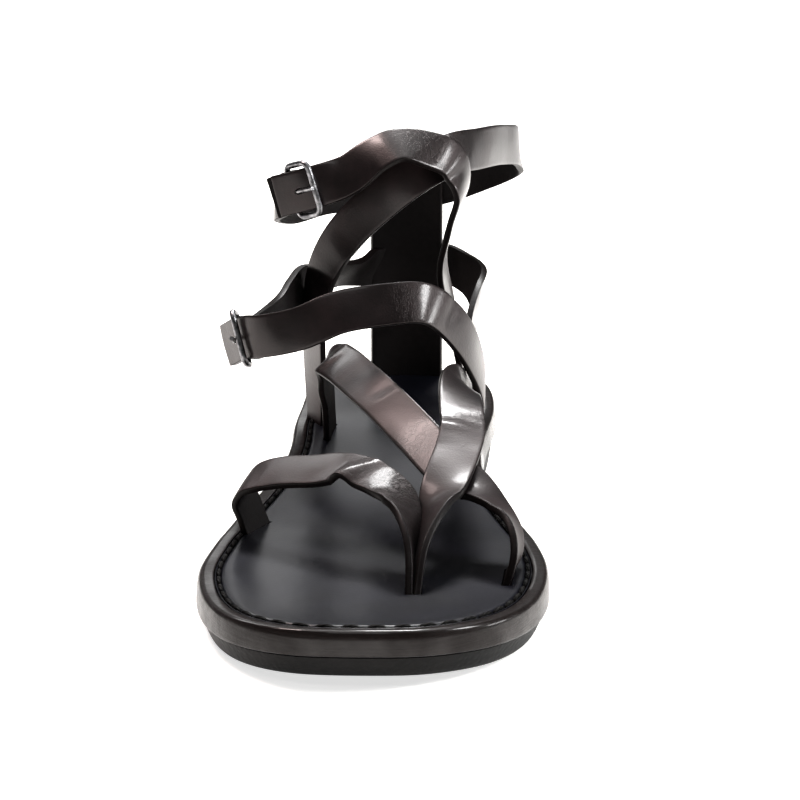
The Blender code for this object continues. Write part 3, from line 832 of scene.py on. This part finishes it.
def strap_rows(table):
    """A strap table's rows as points and the directions that its face looks in."""
    return [(place(across, along, footbed(along) + up * UPPER_HEIGHT), facing(turn, tilt))
            for across, along, up, turn, tilt in table]


def strap_path(rows, steps=STRAP_STEPS):
    """Smooth stations (centre, width direction, face direction) along a strap."""
    values = [tuple(point) + tuple(face) for point, face in rows]
    first = 2 * np.array(values[0]) - np.array(values[1])
    last = 2 * np.array(values[-1]) - np.array(values[-2])
    curve = smooth_curve([first] + values + [last], steps, 0.5)
    centres = [Vector(row[:3]) for row in curve]
    stations = []
    for i, row in enumerate(curve):
        run = (centres[min(i + 1, len(curve) - 1)] - centres[max(i - 1, 0)]).normalized()
        face = Vector(row[3:])
        face = (face - run * face.dot(run)).normalized()
        stations.append((centres[i], run.cross(face), face))
    return stations


def distances(stations):
    """Distance along the strap at each station."""
    steps = [(b[0] - a[0]).length for a, b in zip(stations, stations[1:])]
    return np.concatenate(([0.0], np.cumsum(steps)))


def relief_of(name, run):
    """Height of the strap's face over its path at a distance along and a share across."""
    rows = [row for row in CREASES if row[0] == name]
    places = [np.interp(row[1] * STRAP_STEPS, range(len(run)), run) for row in rows]
    seed = sum(ord(letter) for letter in name)

    def relief(distance, share, width):
        height = -STRAP_CROWN * (2 * share) ** 2
        height += STRAP_UNEVENNESS * noise.noise(Vector((distance * 75, share * 1.4, seed)))
        for (_, _, slant, rise, reach, start, full), spot in zip(rows, places):
            offset = (distance - spot - slant * share * width) / (reach * MM)
            height += rise * MM * math.exp(-offset ** 2) * smoothstep(share, start, full)
        return height

    return relief


def flex_of(name, run):
    """How strongly the strap is cracked at a distance along it."""
    rows = [row for row in FLEXED if row[0] == name]
    spots = [np.interp(row[1] * STRAP_STEPS, range(len(run)), run) for row in rows]

    def flex(distance):
        near = [strength * math.exp(-((distance - spot) / (reach * MM)) ** 2)
                for (_, _, reach, strength), spot in zip(rows, spots)]
        return max(near, default=0.0)

    return flex


def strap_sheet(name, stations, width, bow=0.0):
    """Open sheet on the strap's path, from a grid with a column of faces for each station."""
    run = distances(stations)
    relief = relief_of(name, run)
    flex = flex_of(name, run)
    deselect()
    bpy.ops.mesh.primitive_grid_add(x_subdivisions=len(stations) - 1, y_subdivisions=STRAP_FACES_ACROSS,
                                    size=1)
    sheet = bpy.context.object
    sheet.name = name
    worn = sheet.data.attributes.new("flex", "FLOAT", "POINT")
    spots = []
    for vert in sheet.data.vertices:
        i = round((vert.co.x + 0.5) * (len(stations) - 1))
        share = vert.co.y
        spots.append((run[i], share * width))
        centre, wide, face = stations[i]
        height = relief(run[i], share, width) - bow * (2 * share) ** 2
        worn.data[vert.index].value = flex(run[i])
        vert.co = centre - wide * (share * width) + face * height
    flat = sheet.data.uv_layers.active.data
    for loop in sheet.data.loops:
        flat[loop.index].uv = spots[loop.vertex_index]
    return sheet


def thicken(sheet, thickness, edge):
    """Gives the sheet its wall, centred on the path, and rounds the cut edges."""
    wall = sheet.modifiers.new("wall", "SOLIDIFY")
    wall.thickness = thickness
    wall.offset = 0.0
    wall.use_even_offset = True
    wall.use_quality_normals = True
    wall.material_offset = 1
    wall.material_offset_rim = 2
    if edge:
        rounding = sheet.modifiers.new("edge", "BEVEL")
        rounding.width = edge
        rounding.segments = EDGE_SEGMENTS
        rounding.limit_method = "ANGLE"
        rounding.angle_limit = math.radians(CORNER_ANGLE)
    return sheet


def over_footbed(point):
    return point.z - footbed(along_of(point))


def slit_cutter(stations, width, thickness, bow):
    """Solid for a slit: the strap's own end, up to where it is clear of the insole."""
    low = width / 2 + thickness
    free = next(i for i, (centre, wide, face) in enumerate(stations)
                if over_footbed(centre) > low * abs(wide.z) + FIT)
    cutter = strap_sheet("slit", stations[:free + 2], width + 2 * FIT, bow)
    thicken(cutter, thickness + 2 * FIT, 0.0)
    apply_all(cutter)
    return cutter


def build_strap(name, stations, width, thickness, bow, leathers, cutters=()):
    """One strap with its grain, inner side and cut edges, and its hole or slot."""
    strap = thicken(strap_sheet(name, stations, width, bow), thickness, STRAP_EDGE)
    strap.name = f"{name}_leather"
    for made in leathers:
        strap.data.materials.append(made)
    apply_all(strap)
    for cutter in cutters:
        cut(strap, cutter)
    smooth_by_angle(strap, degrees=50)
    finish_piece(strap, "upper", "strap_leather")


def station_from_end(stations, distance):
    """Centre, run towards the end, width direction and face at a distance before a strap's end."""
    left = distance
    for after, before in zip(reversed(stations), reversed(stations[:-1])):
        step = (after[0] - before[0]).length
        if left <= step:
            centre = after[0].lerp(before[0], left / step)
            run = (after[0] - before[0]).normalized()
            face = (after[2] - run * after[2].dot(run)).normalized()
            return centre, run, run.cross(face), face
        left -= step
    raise ValueError("the strap is shorter than its tail")


class Buckle:
    """Wire buckle on a strap's end: its own axes, bars, hinge wrap and cutters."""

    def __init__(self, stations):
        seat = station_from_end(stations, STRAP_TAIL + BAR_SPACING / 2)
        self.centre, self.run, self.wide, self.face = seat
        bar = BUCKLE_WIRE / 2
        self.tip_height = STRAP_THICKNESS / 2 + FIT + bar
        self.hinge_depth = 1.5 * STRAP_THICKNESS - BOND + FIT + bar
        self.wrap_radius = bar + FIT + STRAP_THICKNESS / 2

    def at(self, run, wide, out):
        """Point at distances along the strap, across it and out of its face."""
        return self.centre + self.run * run + self.wide * wide + self.face * out

    def hinge(self):
        return self.at(BAR_SPACING / 2, 0, -self.hinge_depth)

    def wrap_rows(self, leaving):
        """Rows of the back strap's turn round the hinge bar, up to the angle it leaves at."""
        hinge = self.hinge()
        start = hinge + self.face * self.wrap_radius
        rows = [(start + self.run * WRAP_RETURN * share, -self.face) for share in (1.0, 0.5)]
        for step in range(WRAP_STEPS + 1):
            angle = math.radians(leaving) * step / WRAP_STEPS
            out = self.face * math.cos(angle) - self.run * math.sin(angle)
            rows.append((hinge + out * self.wrap_radius, -out))
        onward = self.wide.cross(out)
        rows.append((rows[-1][0] + onward * WRAP_LEAD, -out))
        return rows

    def frame_points(self):
        """Centre line of the wire frame, with rounded corners."""
        half = STRAP_WIDTH / 2 + BUCKLE_SIDE_GAP + BUCKLE_WIRE / 2
        tip = self.at(-BAR_SPACING / 2, 0, self.tip_height)
        hinge = self.hinge()
        middle = (tip + hinge) / 2
        along = (hinge - tip).normalized()
        reach = (hinge - tip).length / 2
        points = []
        for quarter, (side, end) in enumerate(((1, 1), (-1, 1), (-1, -1), (1, -1))):
            for turn in range(0, 91, 10):
                angle = math.radians(90 * quarter + turn)
                wide = side * (half - BUCKLE_CORNER) + BUCKLE_CORNER * math.cos(angle)
                run = end * (reach - BUCKLE_CORNER) + BUCKLE_CORNER * math.sin(angle)
                points.append(middle + self.wide * wide + along * run)
        return points

    def prong_ends(self):
        """Ring radius, hinge, and the straight run that touches neither bar, as (run, out)."""
        ring = BUCKLE_WIRE / 2 + FIT + PRONG_WIRE / 2
        hinge = Vector((BAR_SPACING / 2, -self.hinge_depth))
        bar = Vector((-BAR_SPACING / 2, self.tip_height))
        along = (bar - hinge).normalized()
        over = Vector((along.y, -along.x))
        return ring, hinge, hinge + over * ring, bar + over * ring + along * PRONG_TIP

    def prong_points(self):
        """Centre line of the prong: a ring round the hinge bar, then the straight run."""
        ring, hinge, start, tip = self.prong_ends()
        leave = math.atan2(start.y - hinge.y, start.x - hinge.x)
        turns = [leave - math.radians(angle) for angle in range(290, 0, -10)]
        flat = [hinge + Vector((math.cos(turn), math.sin(turn))) * ring for turn in turns]
        flat += [start, start.lerp(tip, 0.33), start.lerp(tip, 0.67), tip]
        return [self.at(point.x, 0, point.y) for point in flat]

    def prong_hole(self):
        ring, hinge, start, tip = self.prong_ends()
        return rod("prong_hole", self.at(start.x, 0, start.y), self.at(tip.x, 0, tip.y),
                   PRONG_WIRE / 2 + FIT)

    def wrap_slot(self):
        half = self.wide * (PRONG_WIRE / 2 + FIT)
        return rod("wrap_slot", self.hinge() - half, self.hinge() + half,
                   self.wrap_radius + STRAP_THICKNESS / 2 + 0.5 * FIT)


def rod(name, start, end, radius):
    """Cylinder from start to end, for a cut."""
    axis = end - start
    deselect()
    bpy.ops.mesh.primitive_cylinder_add(vertices=32, radius=radius, depth=axis.length,
                                        location=(start + end) / 2,
                                        rotation=axis.to_track_quat("Z", "Y").to_euler())
    made = bpy.context.object
    made.name = name
    return made


def wire(name, points, thickness, closed):
    """Round wire along points, made a mesh with its ends closed."""
    curve = bpy.data.curves.new(name, "CURVE")
    curve.dimensions = "3D"
    curve.bevel_depth = thickness / 2
    curve.bevel_resolution = 4
    curve.use_fill_caps = not closed
    spline = curve.splines.new("POLY")
    spline.points.add(len(points) - 1)
    for spot, point in zip(spline.points, points):
        spot.co = (*point, 1.0)
    spline.use_cyclic_u = closed
    made = bpy.data.objects.new(name, curve)
    bpy.context.scene.collection.objects.link(made)
    choose(made)
    bpy.ops.object.convert(target="MESH")
    bpy.ops.object.mode_set(mode="EDIT")
    bpy.ops.mesh.select_all(action="SELECT")
    bpy.ops.mesh.remove_doubles(threshold=0.000001)
    bpy.ops.mesh.normals_make_consistent(inside=False)
    bpy.ops.object.mode_set(mode="OBJECT")
    smooth_by_angle(made)
    return made


def build_upper(leathers):
    """Seven straps and the heel panel; returns the buckles and what stands in the insole."""
    tables = {
        "toe_strap": TOE_STRAP,
        "post_strap": POST_STRAP,
        "cross_strap": CROSS_STRAP,
        "instep_strap": INSTEP_STRAP,
        "ankle_front_strap": ANKLE_FRONT_STRAP,
    }
    paths = {name: strap_path(strap_rows(table)) for name, table in tables.items()}
    buckles = {"instep": Buckle(paths["instep_strap"]), "ankle": Buckle(paths["ankle_front_strap"])}
    wrapped = {
        "instep_back_strap": (buckles["instep"], INSTEP_WRAP_TURN, INSTEP_BACK_STRAP),
        "ankle_back_strap": (buckles["ankle"], ANKLE_WRAP_TURN, ANKLE_BACK_STRAP[::-1]),
    }
    for name, (buckle, turn, table) in wrapped.items():
        paths[name] = strap_path(buckle.wrap_rows(turn) + strap_rows(table))
    holders = {
        "instep_strap": buckles["instep"].prong_hole,
        "ankle_front_strap": buckles["ankle"].prong_hole,
        "instep_back_strap": buckles["instep"].wrap_slot,
        "ankle_back_strap": buckles["ankle"].wrap_slot,
    }
    for name, stations in paths.items():
        cutters = [holders[name]()] if name in holders else []
        build_strap(name, stations, STRAP_WIDTH, STRAP_THICKNESS, 0.0, leathers, cutters)
    panel = strap_path(strap_rows(HEEL_PANEL))
    build_strap("heel_panel", panel, PANEL_WIDTH, PANEL_THICKNESS, PANEL_BOW, leathers)
    standing = [paths[name] for name in FEET_AT_START] + [paths[name][::-1] for name in FEET_AT_END]
    feet = [(stations, STRAP_WIDTH, STRAP_THICKNESS, 0.0) for stations in standing]
    feet.append((panel, PANEL_WIDTH, PANEL_THICKNESS, PANEL_BOW))
    return buckles, feet


def build_buckles(buckles, metal):
    for label, buckle in buckles.items():
        bow = wire(f"{label}_buckle_bow", buckle.frame_points(), BUCKLE_WIRE, True)
        finish_piece(bow, f"{label}_buckle_frame", "buckle_metal", metal)
        tongue = wire(f"{label}_buckle_tongue", buckle.prong_points(), PRONG_WIRE, False)
        finish_piece(tongue, f"{label}_buckle_prong", "buckle_metal", metal)


def stitch_line():
    """Closed curve in the middle of the groove, for the stitches to follow."""
    points = [(p.x, p.y, footbed(along_of(p)) - STITCH_SINK) for _, p in outline(STITCH_INSET)]
    curve = bpy.data.curves.new("stitch_line", "CURVE")
    curve.dimensions = "3D"
    curve.twist_mode = "Z_UP"
    spline = curve.splines.new("POLY")
    spline.points.add(len(points) - 1)
    for spot, point in zip(spline.points, points):
        spot.co = (*point, 1.0)
    spline.use_cyclic_u = True
    made = bpy.data.objects.new("stitch_line", curve)
    bpy.context.scene.collection.objects.link(made)
    length = sum((Vector(b) - Vector(a)).length for a, b in zip(points, points[1:] + points[:1]))
    return made, length


def build_stitches():
    """One stitch, bowed down at its ends, repeated along the groove."""
    line, length = stitch_line()
    count = round(length / STITCH_PITCH)
    deselect()
    bpy.ops.mesh.primitive_cylinder_add(vertices=STITCH_SIDES, radius=THREAD / 2,
                                        depth=STITCH_LENGTH, end_fill_type="TRIFAN",
                                        rotation=(0, math.pi / 2, 0))
    stitch = bpy.context.object
    stitch.name = "rim_stitches"
    bpy.ops.object.transform_apply(location=True, rotation=True, scale=True)
    bpy.ops.object.mode_set(mode="EDIT")
    bpy.ops.mesh.select_all(action="SELECT")
    for offset in np.linspace(-0.42, 0.42, STITCH_CUTS) * STITCH_LENGTH:
        bpy.ops.mesh.bisect(plane_co=(offset, 0, 0), plane_no=(1, 0, 0))
        bpy.ops.mesh.select_all(action="SELECT")
    bpy.ops.object.mode_set(mode="OBJECT")
    for vert in stitch.data.vertices:
        share = abs(2 * vert.co.x / STITCH_LENGTH)
        narrow = 1.0 - STITCH_NARROWING * share ** 3
        vert.co = (vert.co.x, vert.co.y * narrow, vert.co.z * narrow - 0.5 * THREAD * share ** 4)
    row = stitch.modifiers.new("row", "ARRAY")
    row.count = count
    row.use_relative_offset = False
    row.use_constant_offset = True
    row.constant_offset_displace = (length / count, 0, 0)
    bend = stitch.modifiers.new("groove", "CURVE")
    bend.object = line
    apply_all(stitch)
    bpy.data.objects.remove(line)
    smooth_by_angle(stitch, degrees=60)
    stitch.data.materials.append(waxed_thread())
    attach(stitch, BODY)


def build_stage():
    """White floor, white surroundings and soft boxes."""
    deselect()
    bpy.ops.mesh.primitive_plane_add(size=FLOOR_SIZE)
    floor = bpy.context.object
    floor.name = "studio_floor"
    paper = Finish("white_paper", **{
        "Base Color": (0.80, 0.79, 0.76, 1),
        "Roughness": 0.9,
        "Specular IOR Level": 0.0,
        "Emission Color": (*WHITE, 1),
        "Emission Strength": FLOOR_GLOW,
    })
    floor.data.materials.append(paper.material)
    world = bpy.data.worlds.new("studio")
    bpy.context.scene.world = world
    world.use_nodes = True
    sky = world.node_tree.nodes["Background"]
    sky.inputs["Color"].default_value = (*WHITE, 1)
    sky.inputs["Strength"].default_value = SURROUNDINGS
    overhead = bpy.data.lights.new("overhead_glow", "SUN")
    overhead.energy = OVERHEAD_POWER
    overhead.angle = math.radians(OVERHEAD_SPREAD)
    lamp = bpy.data.objects.new("overhead_glow", overhead)
    lamp.rotation_euler = [math.radians(degrees) for degrees in OVERHEAD_TILT]
    bpy.context.scene.collection.objects.link(lamp)
    for row in SOFT_BOXES:
        soft_box(*row)
    bpy.context.scene.view_settings.view_transform = "Standard"
    bpy.context.scene.view_settings.look = "Medium High Contrast"


def soft_box(name, towards, distance, size, power, colour):
    """A light that shines on the sandal from a direction and distance."""
    where = LIT_POINT + Vector(towards).normalized() * distance
    light = bpy.data.lights.new(name, "AREA")
    light.shape = "RECTANGLE"
    light.size, light.size_y = size
    light.energy = power
    light.color = colour
    lamp = bpy.data.objects.new(name, light)
    lamp.location = where
    lamp.rotation_euler = (LIT_POINT - where).to_track_quat("-Z", "Y").to_euler()
    lamp.visible_camera = False
    bpy.context.scene.collection.objects.link(lamp)


def build_camera():
    """Camera at the photograph's viewpoint."""
    lens = bpy.data.cameras.new("photo_view")
    lens.lens = CAMERA_LENS
    lens.sensor_width = SENSOR
    camera = bpy.data.objects.new("photo_view", lens)
    camera.location = CAMERA_PLACE
    camera.rotation_euler = Euler((math.radians(90 - CAMERA_PITCH), 0, 0))
    bpy.context.scene.collection.objects.link(camera)
    bpy.context.scene.camera = camera


build_camera()
build_stage()
leathers = (grain_leather(), flesh_leather(), cut_edge())
buckles, feet = build_upper(leathers)
build_outsole()
build_midsole()
build_insole(feet)
build_stitches()
build_buckles(buckles, antique_metal())
